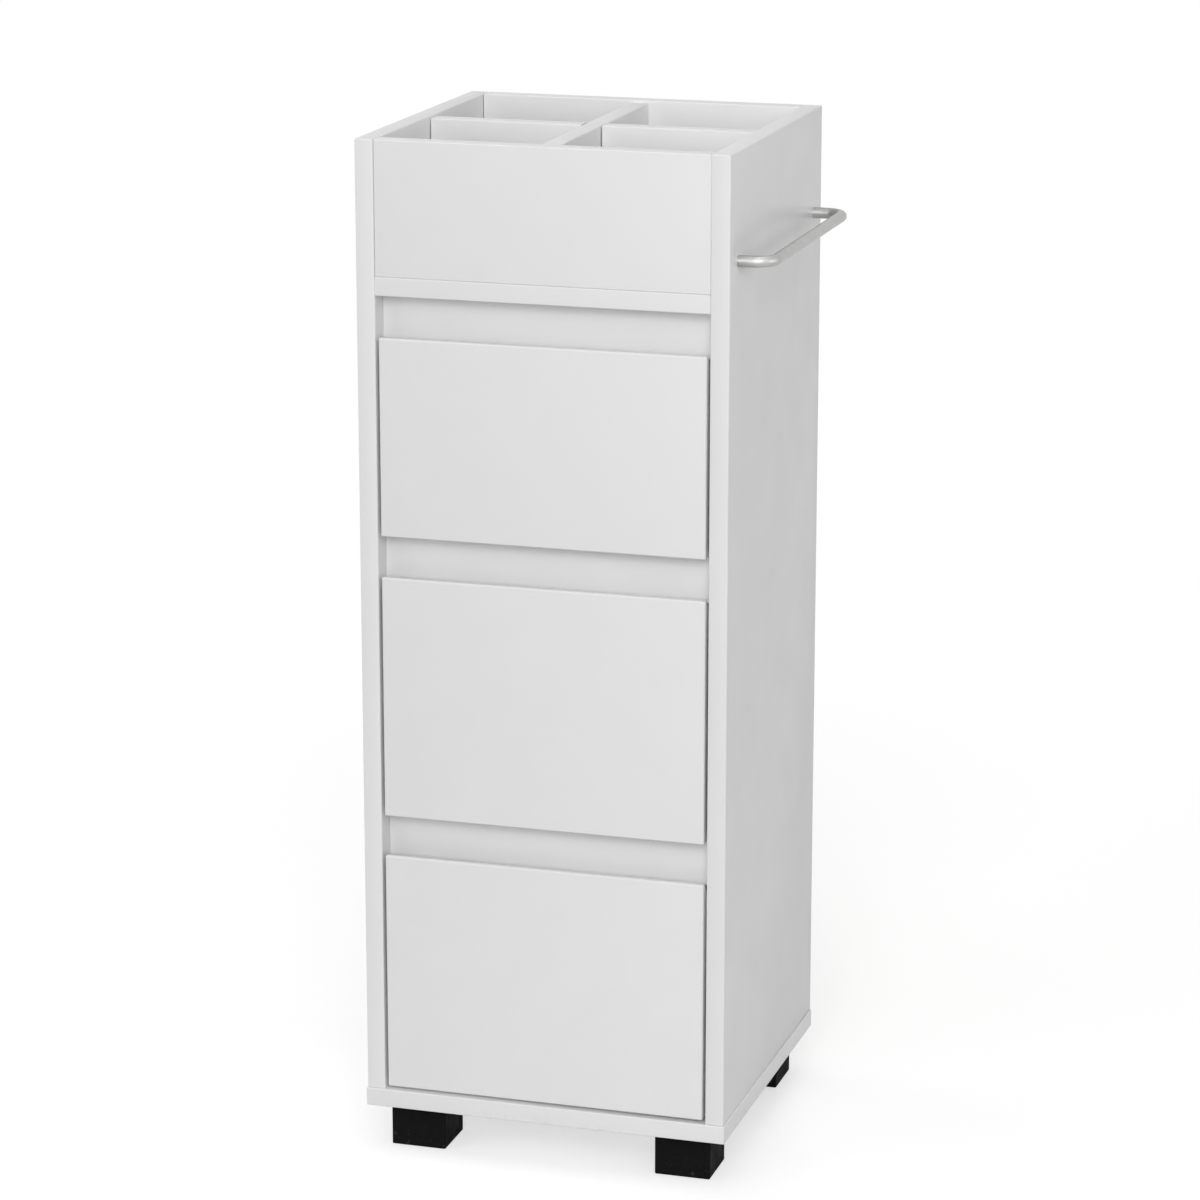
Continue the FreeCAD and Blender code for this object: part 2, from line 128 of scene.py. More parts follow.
def white_melamine():
    """White satin facing: faint mottle, a pearled grain and smudges near the floor."""
    finish, tree, surface, point = new_finish("white_melamine")
    place = point["Object"]
    mottle = grain(tree, place, scale=22, detail=4)
    faint = between(tree, mottle, NOISE_SPAN, MOTTLE_SHARES)
    smudge = between(tree, grain(tree, place, scale=60, detail=6, roughness=0.7), SMUDGE_SPAN, SMUDGE_SHARES)
    height = add_node(tree, "SeparateXYZ", Vector=place).outputs["Z"]
    low_down = between(tree, height, SMUDGE_HEIGHTS, (1, 0))
    soiled = joined(tree, faint, joined(tree, smudge, low_down, "MULTIPLY"), "MAXIMUM")
    tree.links.new(tint(tree, soiled, (0, 1), CLEAN_AND_SOILED_WHITE), surface["Base Color"])
    tree.links.new(between(tree, mottle, NOISE_SPAN, SATIN_ROUGHNESS), surface["Roughness"])
    pitted(tree, surface, place, scale=850, strength=0.08, depth=0.00005)
    return finish


def shown(piece, body, node, finish):
    """Hang a new piece on its body, in the place of a node, with its finish."""
    piece.data.materials.clear()
    piece.data.materials.append(finish)
    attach(piece, body)
    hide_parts(node)


def eased_board(node, body, easing=BOARD_EASING, arris_degrees=CHAMFER_DEGREES, fit=None):
    """The frame's board with its arrises rounded.

    An edge is a chamfer's where its faces meet at about half a right angle. Those edges are bevelled by
    the easing, which nearly takes up the chamfer's own width. A board that has no chamfers gives other
    degrees for its arrises. The fit, if any, is a function that moves the board's points.
    """
    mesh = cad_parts[node].data.copy()
    work = bmesh.new()
    work.from_mesh(mesh)
    bmesh.ops.remove_doubles(work, verts=work.verts, dist=MERGE_REACH)
    bmesh.ops.dissolve_limit(work, angle_limit=math.radians(FLAT_DEGREES), verts=work.verts, edges=work.edges)
    weight = work.edges.layers.float.new("bevel_weight_edge")
    for edge in work.edges:
        turn = math.degrees(edge.calc_face_angle_signed(0))
        arris = arris_degrees[0] < turn < arris_degrees[1]
        edge[weight] = float(arris)
        edge.smooth = arris or abs(turn) < CREASE_DEGREES
    work.to_mesh(mesh)
    work.free()
    if fit:
        places = np.empty(len(mesh.vertices) * 3)
        mesh.vertices.foreach_get("co", places)
        mesh.vertices.foreach_set("co", fit(places.reshape(-1, 3)).ravel())
    mesh.polygons.foreach_set("use_smooth", np.ones(len(mesh.polygons), bool))
    board = bpy.data.objects.new("eased_" + node, mesh)
    bpy.context.scene.collection.objects.link(board)
    bevel = board.modifiers.new("easing", "BEVEL")
    bevel.limit_method = "WEIGHT"
    bevel.width = easing
    bevel.segments = EASING_STEPS
    bevel.harden_normals = True
    weld = board.modifiers.new("weld", "WELD")
    weld.merge_threshold = WELD_REACH
    shown(board, body, node, board_finish)


board_finish = white_melamine()
for board_name in CARCASS_BOARDS:
    eased_board(board_name, "carcass")

# Block feet: four black plastic mouldings, open underneath, each screwed up into the base.
# The mould rounds their arrises and leaves a shallow sunk panel on each face; their lower
# edges are scuffed and dusty from standing on the floor.
FEET = ("front_left", "front_right", "rear_left", "rear_right")
FOOT_CORNER = 0.0014
FOOT_ARRIS = 0.0008
FOOT_WALL = 0.003
FOOT_PLATE = 0.005
PANEL_MARGIN = 0.0045
PANEL_SLOPE = 0.0004
PANEL_DEPTH = 0.0003
CORNER_POINTS = 6
ARRIS_POINTS = 5
RIM_POINTS = 4
SIDE_POINTS = 9
WALL_POINTS = 7
SLOPE_POINTS = 5
SEAM_REACH = 2e-7
SHARP_DEGREES = 35
BLACK_AND_SCUFFED = ((0.009, 0.009, 0.0091), (0.08, 0.08, 0.08))
MOULDED_GLOSS = 0.02
MOULDED_ROUGHNESS = (0.55, 0.75)
SCUFF_SPAN = (0.6, 0.74)
SCUFF_HEIGHTS = (0, 0.022)
SPECK_SPAN = (0.05, 0.1)


def smooth_step(low, high, value):
    """Rise from 0 at low to 1 at high along 3s^2 - 2s^3."""
    share = np.clip((value - low) / (high - low), 0, 1)
    return share * share * (3 - 2 * share)


def piece_from_grids(name, grids):
    """One object from grids of points, each rows x columns x 3, whose columns close into a ring.

    Neighbouring points of a grid become four-cornered faces. Rows that shrink to a point, and rows
    that meet, are merged, and the faces are then turned outwards.
    """
    points, faces, start = [], [], 0
    for grid in grids:
        rows, columns = grid.shape[:2]
        row, column = np.meshgrid(np.arange(rows - 1), np.arange(columns), indexing="ij")
        following = (column + 1) % columns
        corners = (row * columns + column, row * columns + following,
                   (row + 1) * columns + following, (row + 1) * columns + column)
        faces.append(np.stack(corners, axis=-1).reshape(-1, 4) + start)
        points.append(grid.reshape(-1, 3))
        start += rows * columns
    mesh = bpy.data.meshes.new(name)
    mesh.from_pydata(np.concatenate(points), [], np.concatenate(faces).tolist())
    work = bmesh.new()
    work.from_mesh(mesh)
    bmesh.ops.remove_doubles(work, verts=work.verts, dist=SEAM_REACH)
    bmesh.ops.recalc_face_normals(work, faces=work.faces)
    work.to_mesh(mesh)
    work.free()
    mesh.shade_smooth()
    mesh.set_sharp_from_angle(angle=math.radians(SHARP_DEGREES))
    piece = bpy.data.objects.new(name, mesh)
    bpy.context.scene.collection.objects.link(piece)
    return piece


def arc(centre, radius, start_degrees, end_degrees, count):
    """Points of a flat arc: centre + radius (cos t, sin t), with t running between two angles."""
    turn = np.radians(np.linspace(start_degrees, end_degrees, count))
    return np.stack([centre[0] + radius * np.cos(turn), centre[1] + radius * np.sin(turn)], axis=-1)


def foot_skin(low, high):
    """A profile of inset and height, carried round a rounded square.

    A ring point is share (half - corner) + direction corner, with share and direction as complex
    numbers over one quarter that is turned four times. The profile runs from the middle of the top
    over the outside, the rim and the cavity to the middle of its ceiling. The panel sinks in where
    both the distance from the side's ends and the height are past its margin.
    """
    half = (high.x - low.x) / 2
    height = high.z - low.z
    straight = half - FOOT_CORNER
    slope = np.linspace(-PANEL_SLOPE, PANEL_SLOPE, SLOPE_POINTS)
    panel_end = half - PANEL_MARGIN + slope
    side_points = np.linspace(-straight, straight, SIDE_POINTS)[1:-1]
    along = np.unique(np.concatenate([side_points, panel_end, -panel_end]))
    turn = np.linspace(0, np.pi / 2, CORNER_POINTS)
    share = np.concatenate([np.full(turn.size, 1 + 1j), -along / straight + 1j])
    direction = np.concatenate([np.exp(1j * turn), np.full(along.size, 1j)])
    end_distance = np.concatenate([np.zeros(turn.size), half - np.abs(along)])
    quarters = 1j ** np.arange(4)[:, None]
    share, direction = (share * quarters).ravel(), (direction * quarters).ravel()
    end_distance = np.tile(end_distance, 4)

    wall_points = np.linspace(FOOT_ARRIS, height - FOOT_ARRIS, WALL_POINTS)
    panel_heights = [edge + slope for edge in (PANEL_MARGIN, height - PANEL_MARGIN)]
    wall_heights = np.unique(np.concatenate([wall_points, *panel_heights]))
    rim = FOOT_ARRIS / 2
    profile = np.concatenate([
        [(half, height)],
        arc((FOOT_ARRIS, height - FOOT_ARRIS), FOOT_ARRIS, 90, 180, ARRIS_POINTS),
        np.stack([np.zeros(wall_heights.size), wall_heights[::-1]], axis=-1)[1:-1],
        arc((FOOT_ARRIS, FOOT_ARRIS), FOOT_ARRIS, 180, 270, ARRIS_POINTS),
        arc((FOOT_WALL - rim, rim), rim, 270, 360, RIM_POINTS),
        [(FOOT_WALL, height - FOOT_PLATE), (half, height - FOOT_PLATE)]])
    inset, level = profile[:, :1], profile[:, 1:]
    ring_half = half - inset
    corner = np.minimum(np.maximum(FOOT_CORNER - inset, rim), ring_half)
    flat = share * (ring_half - corner) + direction * corner
    across = smooth_step(PANEL_MARGIN - PANEL_SLOPE, PANEL_MARGIN + PANEL_SLOPE, end_distance)
    edge_distance = np.minimum(level, height - level)
    upward = smooth_step(PANEL_MARGIN - PANEL_SLOPE, PANEL_MARGIN + PANEL_SLOPE, edge_distance)
    flat = flat - direction * PANEL_DEPTH * across * upward * (inset == 0)
    middle = (low + high) / 2
    rise = np.broadcast_to(level + low.z, flat.shape)
    return np.stack([flat.real + middle.x, flat.imag + middle.y, rise], axis=-1)


def black_moulding():
    """Black plastic with a spark-eroded grain, pale scuffs along its lower part and specks of dust."""
    finish, tree, surface, point = new_finish("black_moulding")
    place = point["Object"]
    surface["Specular IOR Level"].default_value = MOULDED_GLOSS
    scuffs = between(tree, grain(tree, place, scale=160, detail=6, roughness=0.7), SCUFF_SPAN, (0, 1))
    specks = add_node(tree, "TexVoronoi", Vector=place, Scale=260).outputs["Distance"]
    specks = between(tree, specks, SPECK_SPAN, (1, 0))
    height = add_node(tree, "SeparateXYZ", Vector=place).outputs["Z"]
    low_down = between(tree, height, SCUFF_HEIGHTS, (1, 0))
    worn = joined(tree, joined(tree, scuffs, specks, "MAXIMUM"), low_down, "MULTIPLY")
    tree.links.new(tint(tree, worn, (0, 1), BLACK_AND_SCUFFED), surface["Base Color"])
    cloud = grain(tree, place, scale=70, detail=3)
    tree.links.new(between(tree, cloud, NOISE_SPAN, MOULDED_ROUGHNESS), surface["Roughness"])
    pitted(tree, surface, place, scale=2600, strength=0.25, depth=0.00006)
    return finish


foot_finish = black_moulding()
for foot in FEET:
    block = piece_from_grids(foot + "_block_foot", [foot_skin(*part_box(foot + "_foot"))])
    shown(block, "carcass", foot + "_foot", foot_finish)

# Foot screws: two zinc-plated steel wood screws in each foot, cross-slotted, driven up through its
# top plate into the base from inside the hollow.
FOOT_SCREW_HEAD = 0.002
WOOD_PITCH = 0.0014
SCREW_COLUMNS = 24
ROWS_TO_A_PITCH = 5
PLACE_DIGITS = 7
SLOT_SIDE_SHARES = (0.6, 1.2)
SLOT_END_SHARE = 0.8
HEAD_RINGS = 10
HEAD_TOP_SHARE = 0.9
HEAD_DOME_SHARE = 0.4
HEAD_SHOULDER_SHARE = 0.55
HEAD_SLOT_WIDTH_SHARE = 0.17
HEAD_SLOT_REACH_SHARE = 0.68
HEAD_SLOT_DEPTH_SHARE = 0.6
SCREW_POINT_SHARE = 2
SCREW_CORE_SHARE = 0.74


def solids_of(node):
    """The separate solids of a grouped node, each as an array of its points.

    The corners of every face take the lowest number among them, again and again, until each solid
    has one number throughout.
    """
    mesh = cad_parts[node].data
    places = np.empty(len(mesh.vertices) * 3)
    mesh.vertices.foreach_get("co", places)
    corners = np.empty(len(mesh.loops), int)
    mesh.loops.foreach_get("vertex_index", corners)
    points, number = np.unique(places.reshape(-1, 3).round(PLACE_DIGITS), axis=0, return_inverse=True)
    faces = number.ravel()[corners].reshape(-1, 3)
    label = np.arange(len(points))
    settled = False
    while not settled:
        before = label.copy()
        np.minimum.at(label, faces, label[faces].min(axis=1, keepdims=True))
        settled = (label == before).all()
    return [points[label == one] for one in np.unique(label)]


def lie_of(points):
    """How a long turned solid lies: the middle of its thick end, its axis, its length and both radii."""
    low, high = points.min(axis=0), points.max(axis=0)
    middle = (low + high) / 2
    along = (high - low).argmax()
    reach = np.abs(np.delete(points - middle, along, axis=1)).max(axis=1)
    thick = points[reach > reach.max() - MERGE_REACH, along].mean() - middle[along]
    length = high[along] - low[along]
    axis = np.zeros(3)
    axis[along] = 1 if thick < 0 else -1
    start = middle - axis * length / 2
    at_tip = (points - start) @ axis > length - MERGE_REACH
    return start, axis, length, reach.max(), reach[at_tip].max()


def turned(profile, start, axis, columns, cut=None):
    """A profile of distance along an axis and radius, carried once round that axis.

    A ring point is start + distance axis + radius (cos t side + sin t other side). The cut, if any,
    first changes the distances and radii of the whole grid.
    """
    turn = np.linspace(0, 2 * np.pi, columns, endpoint=False)
    distance, radius = (np.repeat(part[:, None], columns, axis=1) for part in profile.T)
    if cut:
        distance, radius = cut(distance, radius, turn)
    side = np.roll(axis, 1)
    around = np.cos(turn)[:, None] * side + np.sin(turn)[:, None] * np.cross(axis, side)
    return start + distance[..., None] * axis + radius[..., None] * around


def cross_slot(radius, turn, half_width, reach, depth):
    """Depth of a cross-shaped slot: full near the middle line of either arm, out to the arm's reach."""
    one, other = np.abs(radius * np.cos(turn)), np.abs(radius * np.sin(turn))
    wall, mouth = (share * half_width for share in SLOT_SIDE_SHARES)
    beside = smooth_step(wall, mouth, np.minimum(one, other))
    beyond = smooth_step(SLOT_END_SHARE * reach, reach, np.maximum(one, other))
    return depth * (1 - beside) * (1 - beyond)


def thread_radius(full, core_share, distance, turn, pitch):
    """Radius of a thread, which rises from its core to full size once in every pitch and turn.

    The rise is the square of 1/2 + 1/2 cos(2 pi distance / pitch - turn).
    """
    ridge = (0.5 + 0.5 * np.cos(2 * np.pi * distance / pitch - turn)) ** 2
    return full * (core_share + (1 - core_share) * ridge)


def screw_skin(lie, head_height, pitch):
    """A domed head with a cross slot, a threaded shank and a point.

    The head's top sinks with the square of the radius. The profile's shank has its full radius, which
    the thread then cuts.
    """
    start, axis, length, head, full = lie
    top = head * np.linspace(0, HEAD_TOP_SHARE, HEAD_RINGS)
    tip = length - SCREW_POINT_SHARE * full
    rows = int((tip - head_height) / pitch * ROWS_TO_A_PITCH)
    shank = np.linspace(head_height, tip, rows)
    profile = np.concatenate([
        np.stack([HEAD_DOME_SHARE * head_height * (top / head) ** 2, top], axis=-1),
        [(HEAD_SHOULDER_SHARE * head_height, head), (head_height, head)],
        np.stack([shank, np.full(rows, full)], axis=-1),
        [(length, 0)]])

    def cut(distance, radius, turn):
        slot = cross_slot(radius, turn, HEAD_SLOT_WIDTH_SHARE * head, HEAD_SLOT_REACH_SHARE * head,
                          HEAD_SLOT_DEPTH_SHARE * head_height)
        on_top = np.arange(len(distance))[:, None] < top.size
        threaded = thread_radius(full, SCREW_CORE_SHARE, distance, turn, pitch)
        return distance + slot * on_top, np.where(radius == full, threaded, radius)

    return turned(profile, start, axis, SCREW_COLUMNS, cut)


def clouded_finish(name, clouds, colours, roughness, pits, metallic=0.0, span=NOISE_SPAN):
    """A finish whose colour and roughness drift between two values with a cloudy noise, over fine pits.

    clouds holds the noise's scale and detail, and its roughness where that isn't the usual one. pits
    holds the bumps' scale, strength and depth. The colours stand at the two ends of the noise's span.
    """
    finish, tree, surface, point = new_finish(name)
    surface["Metallic"].default_value = metallic
    cloud = grain(tree, point["Object"], *clouds)
    tree.links.new(tint(tree, cloud, span, colours), surface["Base Color"])
    tree.links.new(between(tree, cloud, NOISE_SPAN, roughness), surface["Roughness"])
    pitted(tree, surface, point["Object"], *pits)
    return finish


# Bright zinc plating: slightly blue, clouded, with a fine rough skin
zinc_finish = clouded_finish("plated_zinc", clouds=(240, 4),
                             colours=((0.50, 0.51, 0.53), (0.62, 0.63, 0.65)),
                             roughness=(0.26, 0.42), pits=(4200, 0.1, 0.00003), metallic=1.0)
screws = [screw_skin(lie_of(points), FOOT_SCREW_HEAD, WOOD_PITCH) for points in solids_of("foot_screws")]
shown(piece_from_grids("foot_wood_screws", screws), "carcass", "foot_screws", zinc_finish)

# Dowels: fluted beech pins with chamfered ends, glued a third of their length into the face of one
# board and the rest into the end of the next.
DOWEL_FLUTES = 20
COLUMNS_TO_A_FLUTE = 4
FLUTE_DEPTH = 0.0003
DOWEL_CHAMFER = 0.0012


def dowel_skin(points):
    """A round pin whose radius dips by the flute depth along (1 - cos(flutes t)) / 2."""
    start, axis, length, radius = lie_of(points)[:4]
    profile = np.array([
        (0, 0), (0, radius - DOWEL_CHAMFER), (DOWEL_CHAMFER, radius),
        (length - DOWEL_CHAMFER, radius), (length, radius - DOWEL_CHAMFER), (length, 0)])

    def cut(distance, reach, turn):
        flute = FLUTE_DEPTH * (0.5 - 0.5 * np.cos(DOWEL_FLUTES * turn))
        return distance, np.maximum(reach - flute, 0)

    return turned(profile, start, axis, COLUMNS_TO_A_FLUTE * DOWEL_FLUTES, cut)


# Bare beech: pale brown with short darker flecks
beech_finish = clouded_finish("bare_beech", clouds=(900, 5, 0.65), span=(0.35, 0.7),
                              colours=((0.50, 0.33, 0.19), (0.66, 0.49, 0.31)),
                              roughness=(0.6, 0.8), pits=(2200, 0.2, 0.00008))
pins = [dowel_skin(points) for points in solids_of("wood_dowels")]
shown(piece_from_grids("fluted_dowels", pins), "carcass", "wood_dowels", beech_finish)

# Cam bolts: plated steel bolts screwed into the face of one panel; the cam in the next board's bore
# grips the bolt's head and draws the joint tight.
BOLT_PITCH = 0.0016
BOLT_THREAD_LENGTH = 0.010
BOLT_CORE_SHARE = 0.75
BOLT_TIP_SHARE = 0.6
BOLT_SHOULDER_SHARE = 1 / 4
BOLT_POINT_SHARE = 1 / 3
BOLT_HEAD_SHARES = ((0, 0), (0, 0.8), (0.2, 1), (0.85, 1), (1.1, 0.6), (2.0, 0.6), (2.3, 1))


def bolt_skin(points):
    """A head, a neck, a plain shank and a coarse thread, carried round the bolt's axis.

    The head and neck are distances and radii in shares of the shank's radius.
    """
    start, axis, length, full, thread = lie_of(points)
    shoulder = length - BOLT_THREAD_LENGTH
    rows = int(BOLT_THREAD_LENGTH / BOLT_PITCH * ROWS_TO_A_PITCH)
    coarse = np.linspace(shoulder, length - BOLT_POINT_SHARE * full, rows)
    profile = np.concatenate([
        np.array(BOLT_HEAD_SHARES) * full,
        [(shoulder - BOLT_SHOULDER_SHARE * full, full), (shoulder, thread)],
        np.stack([coarse, np.full(rows, thread)], axis=-1),
        [(length, BOLT_TIP_SHARE * thread), (length, 0)]])

    def cut(distance, radius, turn):
        on_thread = (radius == thread) & (distance > shoulder)
        threaded = thread_radius(thread, BOLT_CORE_SHARE, distance, turn, BOLT_PITCH)
        return distance, np.where(on_thread, threaded, radius)

    return turned(profile, start, axis, SCREW_COLUMNS, cut)


bolts = [bolt_skin(points) for points in solids_of("cam_bolts")]
shown(piece_from_grids("carcass_cam_bolts", bolts), "carcass", "cam_bolts", zinc_finish)

# Cams: die-cast zinc discs sunk in blind bores, turned with a cross-head driver. Those in the sides
# and drawers face inwards, those in the tray's floor face down and those in its walls face back.
CAM_SUNK = 0.0001
CAM_PLAY = 0.0002
CAM_CHAMFER = 0.0003
CAM_SLOT_WIDTH = 0.0024
CAM_SLOT_REACH = 0.0056
CAM_SLOT_DEPTH = 0.0032
CAM_GROOVE_DEPTH = 0.0005
CAM_GROOVE_SHARE = 0.84
CAM_GROOVE_WIDTH_SHARE = 0.05
CAM_FACE_SHARE = 0.95
CAM_RINGS = 26
CAM_COLUMNS = 64


def cam_skin(points):
    """A disc with a cross slot and a shallow ring groove in its face, carried round the cam's axis.

    The axis is the solid's shortest way. The groove is a bell-shaped dip, exp(-s^2), round a circle near
    the disc's edge, with s the distance from that circle in groove widths.
    """
    low, high = points.min(axis=0), points.max(axis=0)
    middle = (low + high) / 2
    along = (high - low).argmin()
    depth = high[along] - low[along]
    radius = (high - low).max() / 2 - CAM_PLAY
    axis = np.zeros(3)
    axis[along] = (np.sign(middle[0]), -1, 1)[along]
    face = middle - axis * depth / 2
    rings = radius * np.linspace(0, CAM_FACE_SHARE, CAM_RINGS)
    dip = CAM_GROOVE_DEPTH * np.exp(-((rings / radius - CAM_GROOVE_SHARE) / CAM_GROOVE_WIDTH_SHARE) ** 2)
    profile = np.concatenate([
        np.stack([dip + CAM_SUNK, rings], axis=-1),
        [(CAM_CHAMFER, radius), (depth, radius), (depth, 0)]])

    def cut(distance, reach, turn):
        slot = cross_slot(reach, turn, CAM_SLOT_WIDTH / 2, CAM_SLOT_REACH, CAM_SLOT_DEPTH)
        return distance + slot * (np.arange(len(distance))[:, None] < rings.size), reach

    return turned(profile, face, axis, CAM_COLUMNS, cut)


# Die-cast zinc: duller and greyer than plating, with a sandy skin
cam_finish = clouded_finish("cast_zinc", clouds=(300, 5),
                            colours=((0.36, 0.365, 0.37), (0.50, 0.505, 0.51)),
                            roughness=(0.4, 0.55), pits=(2600, 0.2, 0.00005), metallic=1.0)
cams = [cam_skin(points) for points in solids_of("cam_housings")]
shown(piece_from_grids("carcass_cams", cams), "carcass", "cam_housings", cam_finish)

# Back panel: thin hardboard that slides into grooves in the base, the sides and the tray's floor.
# It is lacquered white on the side that shows inside and left as brown pressed fibre behind.
LACQUER_WAY = (0, -1, 1)
LACQUER_SPAN = (0.4, 0.6)
LACQUER_SHADES = ((0.77, 0.77, 0.765), (0.80, 0.80, 0.80))
FIBRE_SHADES = ((0.15, 0.085, 0.045), (0.26, 0.16, 0.09))
HARDBOARD_ROUGHNESS = (0.75, 0.4)
MIX_FIRST_COLOUR = 6
MIX_SECOND_COLOUR = 7
MIX_RESULT_COLOUR = 2


def hardboard():
    """White lacquer on the faces that look forwards or up, brown pressed fibre on all others."""
    finish, tree, surface, point = new_finish("hardboard")
    place = point["Object"]
    facing = add_node(tree, "VectorMath", {"operation": "DOT_PRODUCT"}, Vector=point["Normal"])
    facing.inputs[1].default_value = LACQUER_WAY
    lacquered = between(tree, facing.outputs["Value"], LACQUER_SPAN, (0, 1))
    fibre = grain(tree, place, scale=420, detail=8, roughness=0.75)
    brown = tint(tree, fibre, NOISE_SPAN, FIBRE_SHADES)
    white = tint(tree, grain(tree, place, scale=30, detail=4), NOISE_SPAN, LACQUER_SHADES)
    colour = add_node(tree, "Mix", {"data_type": "RGBA"}, Factor=lacquered)
    tree.links.new(brown, colour.inputs[MIX_FIRST_COLOUR])
    tree.links.new(white, colour.inputs[MIX_SECOND_COLOUR])
    tree.links.new(colour.outputs[MIX_RESULT_COLOUR], surface["Base Color"])
    tree.links.new(between(tree, lacquered, (0, 1), HARDBOARD_ROUGHNESS), surface["Roughness"])
    pitted(tree, surface, place, scale=700, strength=0.25, depth=0.00012)
    return finish


def give_finish(finish, node):
    """Put a finish on a frame node, in the material slot that it came with."""
    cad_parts[node].material_slots[0].material = finish


thin_finish = hardboard()
give_finish(thin_finish, "back_panel")

# Tray: a floor between the sides, walls in front and behind it, and two dividers halved together that
# drop in from above. The same white board as the carcass, sawn with a little play, so that dark lines
# show in the corners on the left and where the dividers cross.
END_PLAY = 0.0004
LAP_PLAY = 0.001
END_ZONE = 0.002
LAP_ZONE = 0.010


def short_left(points):
    """A board whose left end, all points within the end zone, is drawn in by the end play."""
    left_end = points[:, 0] < points[:, 0].min() + END_ZONE
    return points + np.outer(left_end, (END_PLAY, 0, 0))


def loose_lap(points):
    """A board that is short on the left, with the walls of its middle slot moved apart by the lap play."""
    from_middle = points[:, 0] - (points[:, 0].min() + points[:, 0].max()) / 2
    slot_wall = np.sign(from_middle) * (np.abs(from_middle) < LAP_ZONE)
    return short_left(points) + np.outer(slot_wall, (LAP_PLAY, 0, 0))


TRAY_BOARDS = {"tray_floor": None, "tray_front": short_left, "tray_back": short_left,
               "long_divider": loose_lap, "cross_divider": None}
for board_name, fit in TRAY_BOARDS.items():
    eased_board(board_name, "carcass", fit=fit)

# Side rail: an aluminium rod with a satin finish, bent twice into a bow and held by two machine
# screws that are driven from inside the tray through the right side panel.
RAIL_BEND = 0.014
RAIL_BEND_POINTS = 17
RAIL_COLUMNS = 40
RAIL_SCREW_HEAD = 0.002
MACHINE_PITCH = 0.0007


def rail_skin(low, high):
    """A circle carried along a bow: two legs, two quarter bends and the long run, all at one height.

    Each path point has a direction across the path in the bow's plane; a ring point is the path
    point plus the radius times (cos t across + sin t upwards). Both ends shrink to a point.
    """
    radius = (high.z - low.z) / 2
    level = (high.z + low.z) / 2
    wall, run = low.x, high.x - radius
    near, far = low.y + radius, high.y - radius
    leg = np.array([wall, wall, run - RAIL_BEND])
    bend = np.linspace(0, np.pi / 2, RAIL_BEND_POINTS)[1:-1]
    near_x = np.concatenate([leg, run - RAIL_BEND * (1 - np.sin(bend)), [run]])
    near_y = near + np.concatenate([np.zeros(leg.size), RAIL_BEND * (1 - np.cos(bend)), [RAIL_BEND]])
    heading = np.concatenate([np.zeros(leg.size), bend, [np.pi / 2]])
    path_x = np.concatenate([near_x, near_x[::-1]])
    path_y = np.concatenate([near_y, (near + far) - near_y[::-1]])
    heading = np.concatenate([heading, np.pi - heading[::-1]])
    reach = np.full(path_x.size, radius)
    reach[[0, -1]] = 0
    turn = np.linspace(0, 2 * np.pi, RAIL_COLUMNS, endpoint=False)
    side = reach[:, None] * np.cos(turn)
    rise = reach[:, None] * np.sin(turn)
    return np.stack([path_x[:, None] + side * np.sin(heading)[:, None],
                     path_y[:, None] - side * np.cos(heading)[:, None], level + rise], axis=-1)


# Satin silver metal: a fine even grain and faint handling marks
rail_finish = clouded_finish("satin_metal", clouds=(120, 4),
                             colours=((0.40, 0.40, 0.395), (0.46, 0.46, 0.455)),
                             roughness=(0.42, 0.5), pits=(3200, 0.12, 0.00004), metallic=1.0)
rail = piece_from_grids("bent_side_rail", [rail_skin(*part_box("side_rail"))])
shown(rail, "carcass", "side_rail", rail_finish)
screws = [screw_skin(lie_of(points), RAIL_SCREW_HEAD, MACHINE_PITCH)
          for points in solids_of("side_rail_screws")]
shown(piece_from_grids("rail_machine_screws", screws), "carcass", "side_rail_screws", zinc_finish)

# Cabinet runners: rolled steel sheet with a white coating, a ledge with a lip for the drawer's roller
# to run on, a flange above it and a riveted stub axle in front. Flat screws hold them to the sides.
# Each side has the way along X that leads from its panel into the cabinet.
DRAWERS = ("upper", "middle", "lower")
SIDES = {"left": 1, "right": -1}
RUNNER_SHEET = 0.0012
RUNNER_BEND = 0.0012
RUNNER_BEND_POINTS = 6
RUNNER_GAP = 0.0003
RUNNER_SCREW_HEAD = 0.0012
LEDGE_LIP = 0.003
AXLE_RADIUS = 0.00195
COLLAR_RADIUS = 0.0034
RIVET_RADIUS = 0.0027
RIVET_RISE = 0.0003
RIVET_EDGE_SHARE = 1 / 3
RIVET_CROWN_SHARE = 1 / 2


